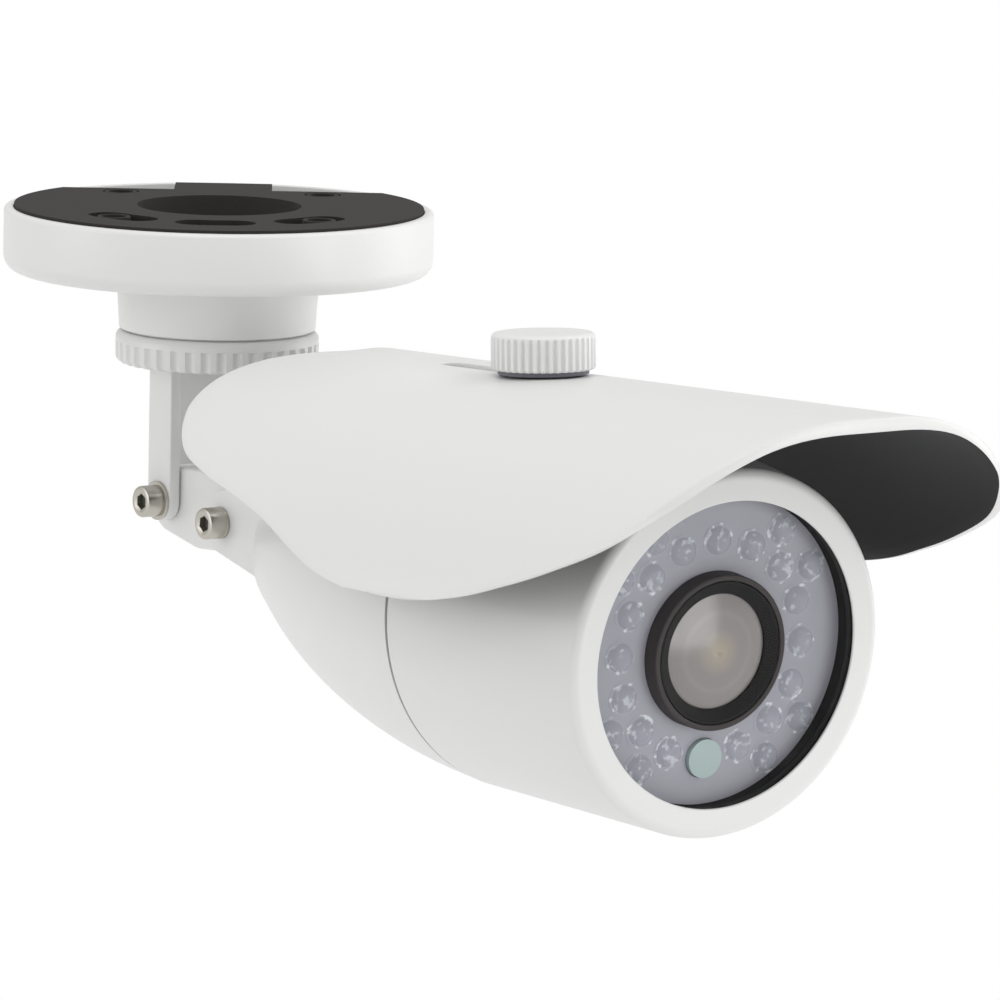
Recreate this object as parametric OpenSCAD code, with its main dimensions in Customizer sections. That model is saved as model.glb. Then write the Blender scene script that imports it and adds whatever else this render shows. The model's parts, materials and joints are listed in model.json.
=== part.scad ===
// Bullet security camera on a swivel ceiling bracket, with a sliding sunshield.
// The origin is the centre of the mounting face, +Z points into the ceiling, and the camera
// looks along -Y. Everything hangs below the origin. Lengths are in millimetres.

/* [Base] */
// Outer radius of the mounting base
base_r = 37.4; // [33:0.5:42]
// Height of the base from its rim to its underside
base_h = 11.1; // [9:0.1:14]
// Wall of the base cup
base_wall = 1.7; // [1.4:0.1:2.4]
// Thickness of the base floor
base_floor = 2.5; // [2:0.1:3.5]
// Height of the rubber pad above the rim of the base
pad_proud = 0.5; // [0.2:0.1:1]
// Thickness of the rubber pad
pad_t = 3; // [2:0.1:4]
// Radius of the hole in the middle of the pad
pad_hole_r = 14.3; // [10:0.1:16]
// Turn of the base about the pan axis, against the camera
base_turn = -35.5; // [-180:0.5:180]
// Radius of the circle of fixing screws
screw_circle_r = 25; // [24:0.1:27]
// Number of fixing screws
screw_count = 4; // [3:1:6]
// Radius of a fixing hole
screw_hole_r = 2.2; // [1.8:0.1:2.6]

/* [Collar and lock ring] */
// Radius of the collar below the base
collar_r = 17.7; // [17:0.1:20]
// Length of the collar below the base
collar_h = 9.9; // [9:0.1:14]
// Taper of the collar on the radius
collar_taper = 0.6; // [0:0.1:1]
// Radius of the threaded spigot that carries the lock ring
spigot_r = 15.9; // [15.5:0.1:16.2]
// Length of the threaded spigot
spigot_h = 3; // [2.5:0.1:4]
// Outer radius of the lock ring
ring_r = 17.7; // [17.4:0.1:19.5]
// Height of the lock ring
ring_h = 5.6; // [5.2:0.1:8]
// Number of grip grooves round the lock ring
ring_grooves = 40; // [24:1:48]

/* [Swivel stem] */
// Radius of the flange that turns in the collar
flange_r = 13.9; // [13.4:0.1:14.2]
// Radius of the stem where it leaves the lock ring
neck_r = 12.7; // [12.4:0.1:12.9]
// Depth of the stem's pivot below the mounting face
pivot_drop = 51; // [46:0.5:70]
// Distance between the outer faces of the fork
fork_w = 23.6; // [22:0.1:24.6]
// Thickness of one cheek of the fork
cheek_t = 2.2; // [1.8:0.1:3]
// Width of a cheek, front to back
cheek_w = 7; // [5.5:0.1:8]

/* [Link] */
// Distance between the link's two pivots
link_reach = 19.5; // [18:0.1:26]
// Drop of the head pivot below the stem pivot
link_drop = 1.3; // [0:0.1:4]
// Radius of the link's end at the stem
link_end_r = 5.8; // [5:0.1:7]
// Radius of the link's belly
link_belly_r = 6.9; // [6.2:0.1:8]
// Thickness of the link's walls
link_wall = 2.4; // [2:0.1:3]

/* [Pivot screws] */
// Shank radius of the pivot screws
screw_r = 1.5; // [1.5:0.25:2]
// Head radius of the pivot screws
screw_head_r = 2.75; // [2.6:0.1:3.5]
// Head height of the pivot screws
screw_head_h = 3.2; // [2.5:0.1:4]
// Width across the flats of the hexagon socket
socket_af = 2.5; // [2:0.5:3]
// Outer radius of the washers at the stem pivot
washer_r = 3.4; // [3:0.1:4]
// Thickness of the washers
washer_t = 0.6; // [0.4:0.1:1]

/* [Head] */
// Pitch of the camera, nose down
head_pitch = 4.87; // [0:0.1:12]
// Distance from the head pivot to the window face
window_reach = 131.3; // [125:0.1:150]
// Height of the barrel's axis above the head pivot
axis_rise = 5.7; // [4:0.1:9]
// Radius of the window opening
window_r = 26; // [25:0.1:26.5]
// Outer radius of the front bezel, which screws into the barrel
bezel_r = 29.5; // [29:0.1:29.8]
// Length of the front bezel
bezel_l = 5; // [4:0.1:7]
// Radius of the barrel just behind its front edge
nose_r = 31.3; // [31:0.1:32]
// Rounding of the barrel's front edge
nose_round = 1.5; // [0.8:0.1:1.6]
// Radius of the barrel at the seam
seam_r = 34.3; // [33:0.1:35]
// Distance from the window face to the seam
seam_t = 49.3; // [46:0.1:52]
// Width of the groove at the seam
seam_gap = 0.8; // [0.5:0.1:1.2]
// Wall of the barrel and the rear housing
shell_wall = 2.2; // [1.8:0.1:2.6]

/* [Rear housing] */
// Distance from the window face to the rear face
tail_t = 121; // [119:0.1:122]
// Radius of the long curve behind the seam
bell_r = 166; // [150:1:180]
// Slope of the wall at the seam
bell_slope = 4; // [2:0.1:6]
// Slope of the straight tail cone
tail_slope = 26.4; // [25:0.1:27]
// Sink of the tail's centre below the barrel's axis
tail_sink = 9; // [7:0.1:10]
// Radius of the ears that carry the head pivot
ear_r = 5.5; // [5:0.1:6.5]
// Radius of the cable outlet in the rubber grommet
cable_r = 2.6; // [2:0.1:3.2]

/* [Sunshield] */
// Thickness of the sunshield plate
shield_t = 1.6; // [1:0.1:2]
// Height of the shield's top above the barrel's axis, at the knob
shield_rise = 35.3; // [35.2:0.05:37]
// Distance from the window face to the knob, along the barrel
knob_t = 56.4; // [54:0.1:62]
// Angle between the shield and the barrel
shield_angle = 7.55; // [5:0.05:9]
// Half width of the flat crown
crown_half = 4; // [3:0.1:6]
// Radius of the shield's bend
shield_r = 43; // [42:0.1:46]
// Angle of the bend on each side
shield_bend = 69.7; // [60:0.1:72]
// Radius of the flare along the wing tips
flare_r = 10; // [6:0.5:16]
// Angle of the flare
flare_bend = 24; // [5:1:30]
// Reach of the shield in front of the knob
shield_front = 92; // [80:0.1:95]
// Reach of the shield's rear corners behind the knob
shield_rear = 65; // [55:0.1:66]
// Depth of the scoop in the middle of the rear edge
shield_scoop = 8; // [0:0.1:14]
// Travel of the shield along its slot
slot_travel = 26; // [10:1:30]

/* [Knob] */
// Radius of the shield knob
knob_r = 8.8; // [7:0.1:10]
// Height of the shield knob
knob_h = 6.2; // [5:0.1:9]
// Number of grooves round the knob
knob_grooves = 40; // [24:1:48]
// Radius of the knob's stud
stud_r = 2; // [1.5:0.25:2.5]
// Length of the stud below the knob
stud_l = 13; // [10:0.5:16]

/* [Optics and electronics] */
// Thickness of the front glass
glass_t = 1.2; // [1:0.1:1.6]
// Radius of the infrared emitters
led_r = 2.5; // [2:0.1:2.6]
// Radius of the main ring of emitters
led_ring_r = 18.4; // [18.2:0.1:18.8]
// Places in the main ring, one of them for the photocell
led_ring_n = 16; // [12:1:16]
// Radius of the outer ring of emitters
led_outer_r = 23.2; // [23:0.1:23.4]
// Radius of the photocell
photocell_r = 3.3; // [2.5:0.1:3.4]
// Outer radius of the rubber lens seal
seal_r = 13.2; // [12.8:0.1:14.6]
// Radius of the lens barrel's front ring
lens_r = 12.1; // [11:0.1:12.4]
// Radius of the front lens element
lens_glass_r = 9.8; // [9:0.1:10.4]
// Side of the square sensor board
board_w = 38; // [34:1:40]
// Thickness of the circuit boards
board_t = 1.6; // [1:0.1:2]

/* [Clearances] */
// Gap between pieces that move past each other
slack = 0.3; // [0.2:0.05:0.5]
// Radial clearance of a running fit
fit = 0.08; // [0.03:0.01:0.1]
// Gap between the link and the cheeks or ears beside it
side_gap = 0.2; // [0.1:0.05:0.3]

/* [Hidden] */
$fn = 72;
eps = 0.05;
rim_z = -pad_proud;
base_z = rim_z - base_h;
lug_r = screw_hole_r + 0.7;
pad_r = base_r - base_wall - 0.1;
ledge_w = 1.3;
pad_lip_h = 2;
pad_lip_w = 1;
hub_pocket_r = pad_hole_r + pad_lip_w + 0.2;
hub_r = collar_r - 0.5;
floor_z = base_z + base_floor;
collar_z = base_z - collar_h;
collar_low_r = collar_r - collar_taper;
spigot_z = collar_z - spigot_h;
chamber_r = flange_r + fit;
passage_r = 9;
flange_h = 4.6;
friction_t = 1;
shoulder_z = spigot_z + flange_h + friction_t + 2 * slack;
flange_z = spigot_z + slack;
ring_top_z = collar_z - slack;
ring_z = ring_top_z - ring_h;
lip_z = spigot_z - slack;
fork_half = fork_w / 2;
cheek_in = fork_half - cheek_t;
link_half = cheek_in - side_gap;
neck_drop = 6;
pivot1 = [0, 0, -pivot_drop];
pivot2 = [0, -link_reach, -pivot_drop - link_drop];
grip_half = fork_half + washer_t;
nut_h = 2.4;
nut_r = 3.05;
shank_over = 1;
// window frame: depth t runs back from the window face, along +Y before the pitch
lip_t = 0.4;
glass_r = window_r + 1.3;
glass_back = lip_t + glass_t;
plate_t = 4.7;
plate_h = 1.5;
sleeve_in = window_r + 0.4;
sleeve_wall = 0.7;
led_board_r = sleeve_in + 1.1;
led_board_t = 10.5;
led_tip_t = glass_back + 1.2;
nose_t = 0.4;
bezel_edge = 0.4;
shoulder_l = 4;
bezel_seat = 1.9;
bell_end_t = seam_t + bell_r * (sin(tail_slope) - sin(bell_slope));
bell_end_r = seam_r - bell_r * (cos(bell_slope) - cos(tail_slope));
tail_round = 2;
bell_lean = atan(tail_sink / (tail_t - seam_t));
lean_fit = 0.2;
rear_edge_t = seam_t + seam_gap / 2;
front_edge_t = seam_t - seam_gap / 2;
spigot_wall = 1.8;
seam_lap = 6;
knob_foot = shield_rise;
washer_gap = 1.1;
knob_washer_t = washer_gap - slack;
knob_washer_r = 8.6;
boss_r = 5.5;
boss_l = 12;
slot_r = stud_r + slack;
shield_w = crown_half + (shield_r - shield_t / 2) * shield_bend * PI / 180
  + (flare_r + shield_t / 2) * flare_bend * PI / 180;
seal_wall = 1;
lens_front_t = 1.9;
lens_rim_t = 2.9;
lens_apex_t = 2.1;
lens_step_t = 9;
lens_body_r = 9;
lens_back_t = 22;
mount_r = 6;
mount_back_t = 32;
holder_r = 8.5;
holder_t = 25;
sensor_t = 37;
main_t = 52;
spacer_r = 2.2;
hole_pitch = board_w - 6;
grommet_slope = 22;
grommet_r = 4.6;

// ---- shared shapes ----
module ring_of(n, r) { for (i = [0:n - 1]) rotate([0, 0, i * 360 / n]) translate([r, 0, 0]) children(); }

module tube(r_out, r_in, h) {
  difference() {
    cylinder(r = r_out, h = h);
    translate([0, 0, -1]) cylinder(r = r_in, h = h + 2);
  }
}

// circles given as [x, y, radius], joined by their outer tangents
module band(ends) { hull() for (e = ends) translate([e[0], e[1]]) circle(r = e[2], $fn = 48); }

// an outline drawn in [y, z] and extruded along X, between two x values
module side_plate(x0, x1) {
  translate([x0, 0, 0]) rotate([90, 0, 90]) linear_extrude(height = x1 - x0) children();
}

module x_pin(r, x0, x1) { translate([x0, 0, 0]) rotate([0, 90, 0]) cylinder(r = r, h = x1 - x0); }

// the head's own frame, with its origin at the head pivot
module head_frame() { translate(pivot2) rotate([head_pitch, 0, 0]) children(); }

// the barrel's frame, with its origin at the centre of the window face
module window_frame() { head_frame() translate([0, -window_reach, axis_rise]) children(); }

// a profile in [radius, depth], turned about the barrel's axis
module lathe() { rotate([-90, 0, 0]) rotate_extrude() children(); }

// a disc or tube on the barrel's axis
module barrel_tube(r_out, r_in, t0, t1) {
  translate([0, t0, 0]) rotate([-90, 0, 0]) {
    if (r_in > 0) tube(r_out, r_in, t1 - t0);
    else cylinder(r = r_out, h = t1 - t0);
  }
}

module at_depth(t) { translate([0, t, 0]) rotate([-90, 0, 0]) children(); }

// the shield's frame, with its origin on the crown under the knob
module shield_frame() {
  window_frame() translate([0, knob_t, knob_foot]) rotate([-shield_angle, 0, 0]) children();
}

// ---- base ----
module screw_places() { for (i = [0:screw_count - 1]) rotate([0, 0, 45 + i * 360 / screw_count])
  translate([screw_circle_r, 0, 0]) children(); }

module base_profile() {
  top_round = 0.8;
  low_round = 2.8;
  fillet = 1.2;
  difference() {
    union() {
      translate([0, base_z]) square([base_r - low_round, base_h]);
      translate([0, base_z + low_round]) square([base_r, base_h - low_round - top_round]);
      translate([0, rim_z - top_round - eps]) square([base_r - top_round, top_round + eps]);
      translate([base_r - low_round, base_z + low_round]) circle(r = low_round);
      translate([base_r - top_round, rim_z - top_round]) circle(r = top_round);
      polygon([[0, base_z + eps], [collar_r, base_z + eps], [collar_r, base_z],
        [collar_low_r, collar_z], [0, collar_z]]);
      translate([0, spigot_z]) square([spigot_r, spigot_h + eps]);
      difference() {
        translate([0, base_z - fillet]) square([collar_r + fillet, fillet + eps]);
        translate([collar_r + fillet, base_z - fillet]) circle(r = fillet);
      }
    }
    translate([0, -pad_t]) square([pad_r + 0.1, pad_t + 1]);
    translate([hub_r, floor_z]) square([pad_r - ledge_w - hub_r, base_h]);
    translate([-1, spigot_z - 1]) square([passage_r + 1, 60]);
    translate([0, spigot_z - 1]) square([chamber_r, shoulder_z - spigot_z + 1]);
    translate([-1, -pad_t - pad_lip_h - slack]) square([hub_pocket_r + 1, pad_t + pad_lip_h]);
  }
}

module base_plate() {
  boss = 4.4;
  rib = 1.6;
  color("white") rotate([0, 0, base_turn]) difference() {
    union() {
      rotate_extrude() base_profile();
      screw_places() translate([0, 0, floor_z - eps]) cylinder(r = boss, h = -pad_t - floor_z + eps);
      screw_places() translate([0, 0, -pad_t - eps]) cylinder(r = lug_r, h = pad_t + eps);
      for (i = [0:screw_count - 1]) rotate([0, 0, i * 360 / screw_count])
        translate([collar_r - 2, -rib / 2, floor_z - eps])
          cube([pad_r - collar_r, rib, -pad_t - floor_z + eps]);
    }
    screw_places() translate([0, 0, base_z - 1]) cylinder(r = screw_hole_r, h = base_h + 4);
    screw_places() translate([0, 0, base_z - eps])
      cylinder(r1 = screw_hole_r + 2, r2 = screw_hole_r, h = 2);
  }
}

module pad_pocket() {
  w = 7;
  arc = 8.5;
  middle = screw_circle_r - 0.3;
  rotate_extrude(start = -arc, angle = 2 * arc)
    translate([middle - w / 2, -pad_t - 1]) square([w, pad_t + 2]);
  for (s = [-1, 1]) rotate([0, 0, s * arc]) translate([middle, 0, -pad_t - 1])
    cylinder(r = w / 2 - 0.15, h = pad_t + 2);
}

// the pad's +X side is its back: it is cut away there to a narrow tongue
module base_pad() {
  back_x = 22;
  tongue_w = 17;
  tongue_x = 32;
  color([0.2, 0.19, 0.2]) rotate([0, 0, base_turn + 90]) difference() {
    union() {
      translate([0, 0, -pad_t]) cylinder(r = pad_r, h = pad_t);
      translate([0, 0, -pad_t - pad_lip_h]) cylinder(r = pad_hole_r + pad_lip_w, h = pad_lip_h + eps);
    }
    translate([0, 0, -pad_t - pad_lip_h - 1]) cylinder(r = pad_hole_r, h = pad_t + pad_lip_h + 2);
    for (a = [-41, 0, 41]) rotate([0, 0, 180 + a]) pad_pocket();
    for (s = [-1, 1]) translate([back_x, s > 0 ? tongue_w / 2 : -tongue_w / 2 - pad_r, -pad_t - 1])
      cube([pad_r, pad_r, pad_t + 2]);
    translate([tongue_x, -pad_r, -pad_t - 1]) cube([pad_r, 2 * pad_r, pad_t + 2]);
    for (a = [-45, 45]) rotate([0, 0, a]) translate([screw_circle_r, 0, -pad_t - 1])
      cylinder(r = lug_r + slack, h = pad_t + 2);
  }
}

module friction_washer() {
  color("ivory") translate([0, 0, shoulder_z - friction_t]) tube(flange_r - 0.3, passage_r, friction_t);
}

module lock_ring() {
  groove_r = 0.85;
  edge = 0.9;
  color("white") difference() {
    union() {
      translate([0, 0, ring_z + edge]) cylinder(r = ring_r, h = ring_h - 2 * edge);
      translate([0, 0, ring_z]) cylinder(r1 = ring_r - edge, r2 = ring_r, h = edge);
      translate([0, 0, ring_top_z - edge]) cylinder(r1 = ring_r, r2 = ring_r - edge, h = edge);
    }
    translate([0, 0, lip_z]) cylinder(r = spigot_r + fit, h = ring_h);
    translate([0, 0, ring_z - 1]) cylinder(r = neck_r + slack, h = ring_h);
    ring_of(ring_grooves, ring_r + 0.15) translate([0, 0, ring_z - 1])
      cylinder(r = groove_r, h = ring_h + 1 - 2 * edge, $fn = 16);
  }
}

// ---- swivel stem: flange, neck, bridge and fork in one casting ----
module swivel_stem() {
  bridge_w = cheek_w - 1.6;
  crotch_z = ring_z - neck_drop;
  color("white") difference() {
    union() {
      translate([0, 0, flange_z]) cylinder(r = flange_r, h = flange_h);
      translate([0, 0, ring_z - slack]) cylinder(r = neck_r, h = flange_z - ring_z + slack + eps);
      for (s = [-1, 1]) {
        x0 = s > 0 ? cheek_in : -fork_half;
        side_plate(x0, x0 + cheek_t) {
          translate([-cheek_w / 2, -pivot_drop]) square([cheek_w, pivot_drop + ring_z]);
          translate([0, -pivot_drop]) circle(r = cheek_w / 2);
        }
      }
      intersection() {
        translate([-fork_half, -bridge_w / 2, crotch_z]) cube([fork_w, bridge_w, neck_drop + 1]);
        translate([0, bridge_w, crotch_z]) rotate([90, 0, 0]) linear_extrude(height = 2 * bridge_w)
          difference() {
            translate([-fork_half, 0]) square([fork_w, neck_drop + 1]);
            scale([1, 0.45]) circle(r = cheek_in);
          }
      }
    }
    translate([0, 0, flange_z - 30]) cylinder(r = passage_r - 1, h = 60);
    translate(pivot1) x_pin(screw_r + fit, -fork_w, fork_w);
  }
}

// ---- pivot screws, washers and nuts ----
module cap_screw(grip, length) {
  translate([-grip - screw_head_h, 0, 0]) rotate([0, 90, 0]) difference() {
    union() {
      cylinder(r = screw_head_r, h = screw_head_h);
      cylinder(r = screw_r, h = length + screw_head_h);
    }
    translate([0, 0, -1]) cylinder(r = socket_af / sqrt(3), h = 1 + screw_head_h * 0.55, $fn = 6);
  }
}

module washer_pair(inner_x, r) {
  for (s = [0, 1]) mirror([s, 0, 0]) translate([inner_x, 0, 0]) rotate([0, 90, 0])
    tube(r, screw_r + fit, washer_t);
}

module hex_nut(inner_x) {
  translate([inner_x, 0, 0]) rotate([0, 90, 0]) difference() {
    cylinder(r = nut_r, h = nut_h, $fn = 6);
    translate([0, 0, -1]) cylinder(r = screw_r + 0.02, h = nut_h + 2);
  }
}

module stem_screw() {
  color("silver") translate(pivot1) cap_screw(grip_half, 2 * grip_half + nut_h + shank_over);
}
module stem_washers() { color("silver") translate(pivot1) washer_pair(fork_half, washer_r); }
module stem_nut() { color("silver") translate(pivot1) hex_nut(grip_half); }

module head_screw() {
  color("silver") head_frame() cap_screw(grip_half, 2 * grip_half + nut_h + shank_over);
}
module head_washers() { color("silver") head_frame() washer_pair(fork_half, washer_r - 0.6); }
module head_nut() { color("silver") head_frame() hex_nut(grip_half); }

// ---- link: a hollow casting with a boss round each screw ----
module link_outline(inset) {
  band([[0, 0, link_end_r - inset], [-link_reach * 0.45, -0.6, link_belly_r - inset],
    [-link_reach, -link_drop, link_end_r - 0.2 - inset]]);
}

module pivot_link() {
  boss = 4;
  web = 1.5;
  mouth = 7;
  color("white") translate(pivot1) difference() {
    union() {
      difference() {
        side_plate(-link_half, link_half) link_outline(0);
        for (s = [-1, 1]) side_plate(min(s * web, s * (link_half - link_wall)),
          max(s * web, s * (link_half - link_wall))) {
          link_outline(link_wall);
          translate([-link_reach * 0.45 - mouth / 2, 0]) square([mouth, 2 * link_belly_r]);
        }
      }
      x_pin(boss, -link_half, link_half);
      translate([0, -link_reach, -link_drop]) x_pin(boss, -link_half, link_half);
    }
    x_pin(screw_r + fit, -fork_w, fork_w);
    translate([0, -link_reach, -link_drop]) x_pin(screw_r + fit, -fork_w, fork_w);
  }
}

// ---- rear housing: a bell on a drooping axis, with two ears ----
// the bell runs a little way in front of the seam, so that it can lean and be cut square there
function curve_at(a, inset) = [seam_r - lean_fit - bell_r * (cos(bell_slope) - cos(a)) - inset * cos(a),
  seam_t + (bell_r - inset) * sin(a) - bell_r * sin(bell_slope)];
function tail_at(t, inset) = bell_end_r - lean_fit - (t - bell_end_t) * tan(tail_slope) - inset / cos(tail_slope);

module bell_outline(inset) {
  first = bell_slope - 2;
  steps = 16;
  back = tail_t - inset;
  curve = [for (i = [0:steps]) curve_at(first + (tail_slope - first) * i / steps, inset)];
  polygon(concat([[0, curve[0][1]]], curve, [[tail_at(back - tail_round, inset), back - tail_round],
    [tail_at(back - tail_round, inset) - tail_round, back], [0, back]]));
}

// leans the bell's axis down about a point just under the centre of the seam
module droop() {
  translate([0, seam_t, -lean_fit]) rotate([-bell_lean, 0, 0]) translate([0, -seam_t, 0]) children();
}

module behind(t) { translate([-100, t, -100]) cube([200, 200, 200]); }

module ear_outline() { band([[0, 0, ear_r], [-14, 1.5, ear_r + 3.5]]); }

// the outlet sits square on the underside, where the wall has the slope grommet_slope
module grommet_frame() {
  wall = curve_at(grommet_slope, 0);
  window_frame() droop() translate([0, wall[1], -wall[0]]) rotate([grommet_slope, 0, 0])
    mirror([0, 0, 1]) children();
}

module rear_housing() {
  spigot_out = seam_r - shell_wall - 0.1;
  color("white") difference() {
    union() {
      window_frame() intersection() {
        droop() lathe() bell_outline(0);
        behind(rear_edge_t);
      }
      head_frame() for (s = [-1, 1]) {
        x0 = s > 0 ? cheek_in : -fork_half;
        side_plate(x0, x0 + cheek_t) ear_outline();
      }
      window_frame() barrel_tube(spigot_out, spigot_out - spigot_wall, rear_edge_t - seam_lap, rear_edge_t + 3);
      shield_frame() translate([0, 0, -shield_t - slack - boss_l]) cylinder(r = boss_r, h = boss_l);
    }
    window_frame() intersection() {
      droop() lathe() bell_outline(shell_wall);
      behind(rear_edge_t + 3);
    }
    window_frame() barrel_tube(spigot_out - spigot_wall, 0, 0, rear_edge_t + 4);
    shield_frame() translate([0, 0, -60]) cylinder(r = stud_r + fit, h = 60);
    head_frame() x_pin(screw_r + fit, -fork_w, fork_w);
    head_frame() x_pin(ear_r + 2.5, -cheek_in, cheek_in);
    grommet_frame() translate([0, 0, -12]) cylinder(r = grommet_r, h = 24);
  }
}

module cable_grommet() {
  lip = 1.2;
  lip_h = 1.2;
  color([0.1, 0.1, 0.1]) grommet_frame() difference() {
    union() {
      translate([0, 0, -shell_wall - 2.2]) cylinder(r = grommet_r - 0.05, h = shell_wall + 2.2 + 0.4);
      translate([0, 0, 0.35]) cylinder(r1 = grommet_r + lip, r2 = grommet_r + lip / 2, h = lip_h);
    }
    translate([0, 0, -10]) cylinder(r = cable_r, h = 20);
  }
}

module seam_gasket() {
  color([0.12, 0.12, 0.12]) window_frame()
    barrel_tube(seam_r - 0.7, seam_r - shell_wall, front_edge_t, rear_edge_t);
}

// ---- front barrel and bezel ----
module front_barrel() {
  seat_t = bezel_l + 0.1;
  color("white") window_frame() lathe() difference() {
    union() {
      polygon([[0, nose_t], [nose_r - nose_round, nose_t], [nose_r, nose_t + nose_round],
        [seam_r, front_edge_t], [0, front_edge_t]]);
      translate([nose_r - nose_round, nose_t + nose_round]) circle(r = nose_round);
    }
    translate([-1, -1]) square([bezel_r + 0.05 + 1, seat_t + 1]);
    translate([-1, 0]) square([bezel_r - bezel_seat + 1, seat_t + shoulder_l + 1]);
    polygon([[-1, seat_t + shoulder_l], [nose_r - shell_wall, seat_t + shoulder_l],
      [seam_r - shell_wall, front_edge_t - seam_lap - 1], [seam_r - shell_wall, seam_t + 1], [-1, seam_t + 1]]);
  }
}

module front_bezel() {
  color("white") window_frame() lathe() difference() {
    polygon([[0, 0], [bezel_r - bezel_edge, 0], [bezel_r, bezel_edge], [bezel_r, bezel_l], [0, bezel_l]]);
    translate([-1, -1]) square([window_r + 1, bezel_l + 2]);
    translate([0, lip_t]) square([glass_r + 0.1, bezel_l]);
  }
}

module bezel_o_ring() {
  r = 0.55;
  color([0.1, 0.1, 0.1]) window_frame() lathe()
    translate([glass_r - r, glass_back + r]) circle(r = r, $fn = 24);
}

module front_glass() {
  color([0.8, 0.88, 0.92, 0.3]) window_frame() barrel_tube(glass_r, 0, lip_t, glass_back);
}

module light_sleeve() {
  color([0.08, 0.08, 0.08]) window_frame() {
    barrel_tube(sleeve_in + sleeve_wall, sleeve_in, glass_back + 1.1, led_board_t);
  }
}

// ---- emitters and photocell ----
module face_spin(a) { rotate([0, a, 0]) children(); }

// the main ring leaves its lowest place to the photocell
function main_angles() = [for (i = [1:led_ring_n - 1]) 180 + i * 360 / led_ring_n];
function outer_angles() = [for (i = [0:3], s = [-1, 1]) 45 + i * 90 + s * 180 / led_ring_n];

module led_places() {
  for (a = main_angles()) face_spin(a) translate([0, 0, led_ring_r]) children();
  for (a = outer_angles()) face_spin(a) translate([0, 0, led_outer_r]) children();
}

module photocell_place() { translate([0, 0, -led_ring_r]) children(); }

module led_plate() {
  color([0.55, 0.56, 0.62]) window_frame() difference() {
    barrel_tube(sleeve_in - 0.1, seal_r + 0.1, plate_t, plate_t + plate_h);
    led_places() at_depth(plate_t - 1) cylinder(r = led_r + 0.1, h = 4, $fn = 24);
    photocell_place() at_depth(plate_t - 1) cylinder(r = photocell_r + 0.1, h = 4, $fn = 32);
  }
}

module led_board() {
  color("darkgreen") window_frame() barrel_tube(led_board_r, lens_r + 0.3, led_board_t, led_board_t + board_t);
}

module ir_leds() {
  body_l = led_board_t - led_tip_t - led_r;
  color([0.85, 0.88, 0.95, 0.7]) window_frame() led_places() at_depth(led_board_t) mirror([0, 0, 1]) {
    cylinder(r = led_r, h = body_l, $fn = 24);
    intersection() {
      translate([0, 0, body_l]) sphere(r = led_r, $fn = 24);
      translate([0, 0, body_l - eps]) cylinder(r = led_r + 1, h = led_r + 1, $fn = 24);
    }
  }
}

module photocell() {
  color([0.7, 0.85, 0.78]) window_frame() photocell_place() at_depth(plate_t - 0.9)
    cylinder(r = photocell_r, h = led_board_t - plate_t + 0.9, $fn = 32);
}

// ---- lens and its holder ----
module lens_seal() {
  front = glass_back + 0.1;
  color([0.15, 0.14, 0.14]) window_frame() lathe() polygon([[seal_r - seal_wall, front],
    [seal_r - 0.3, front], [seal_r, front + 0.3], [seal_r, led_board_t], [seal_r - seal_wall, led_board_t]]);
}

module lens_barrel() {
  rim_w = 0.4;
  bore_r = mount_r - 1.2;
  glass_end = lens_apex_t + 4.3;
  color([0.16, 0.15, 0.15]) window_frame() lathe() difference() {
    polygon([[0, lens_front_t], [lens_r - 0.1, lens_front_t], [lens_r - 0.1, lens_step_t],
      [lens_body_r, lens_step_t], [lens_body_r, lens_back_t], [mount_r, lens_back_t],
      [mount_r, mount_back_t], [0, mount_back_t]]);
    polygon([[-1, lens_front_t - 1], [lens_r - rim_w, lens_front_t - 1], [lens_r - rim_w, lens_front_t],
      [lens_glass_r, lens_rim_t], [lens_glass_r, glass_end], [bore_r, glass_end + 8],
      [bore_r, mount_back_t + 1], [-1, mount_back_t + 1]]);
  }
}

module lens_glass() {
  dome = 40;
  lens_h = 4;
  rear_r = 4.6;
  color([0.6, 0.58, 0.55, 0.6]) window_frame() {
    lathe() intersection() {
      translate([0, lens_apex_t]) square([lens_glass_r - 0.05, lens_h]);
      translate([0, lens_apex_t + dome]) circle(r = dome, $fn = 180);
    }
    barrel_tube(rear_r, 0, mount_back_t - 6, mount_back_t - 3);
  }
}

module lens_lock_ring() {
  color("dimgray") window_frame() barrel_tube(holder_r, mount_r + 0.05, lens_back_t + 0.3, holder_t - 0.2);
}

module lens_holder() {
  foot_w = 18;
  color([0.1, 0.1, 0.1]) window_frame() difference() {
    union() {
      barrel_tube(holder_r, 0, holder_t, sensor_t);
      translate([-foot_w / 2, sensor_t - 4, -foot_w / 2]) cube([foot_w, 4, foot_w]);
    }
    barrel_tube(mount_r + fit, 0, holder_t - 1, mount_back_t + 0.5);
    translate([-6, mount_back_t, -6]) cube([12, sensor_t, 12]);
  }
}

module image_sensor() {
  chip = 9;
  color("dimgray") window_frame() translate([-chip / 2, sensor_t - 1.4, -chip / 2]) cube([chip, 1.4, chip]);
}

// ---- circuit boards ----
module board_holes() {
  for (x = [-1, 1], z = [-1, 1]) translate([x * hole_pitch / 2, 0, z * hole_pitch / 2]) children();
}

module square_board(t) {
  difference() {
    translate([-board_w / 2, t, -board_w / 2]) cube([board_w, board_t, board_w]);
    board_holes() at_depth(t - 1) cylinder(r = 1.3, h = board_t + 2, $fn = 24);
  }
}

module sensor_board() { color("darkgreen") window_frame() square_board(sensor_t); }

module main_board() {
  color("darkgreen") window_frame() {
    square_board(main_t);
    translate([-7, main_t - 1.6, -7]) cube([14, 1.6, 14]);
    translate([8, main_t - 3, 4]) cube([6, 3, 9]);
  }
}

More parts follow.
